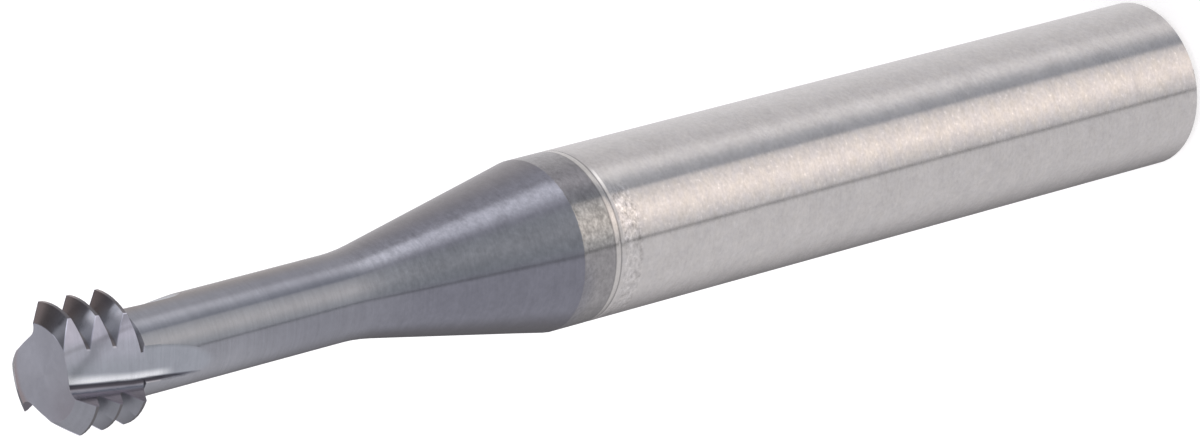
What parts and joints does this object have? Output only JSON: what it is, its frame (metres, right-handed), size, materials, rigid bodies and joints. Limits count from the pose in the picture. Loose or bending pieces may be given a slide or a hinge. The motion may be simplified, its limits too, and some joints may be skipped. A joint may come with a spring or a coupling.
{
  "type": "thread mill",
  "caption": "Solid carbide thread mill with a straight round shank, slim coated neck and a fluted head of thread-form ridges.",
  "frame": {"origin": "centre of the shank's flat end, on the tool's axis", "axes": "+Z along the axis from the shank end to the cutting head, +X towards the side that the picture shows"},
  "size_m": [0.006, 0.006, 0.05],
  "materials": {
    "carbide": "ground bare carbide on the shank, dark blue-grey hard coating on the taper, neck and head"
  },
  "bodies": {
    "root": {"thread_mill": "carbide"}
  },
  "joints": []
}
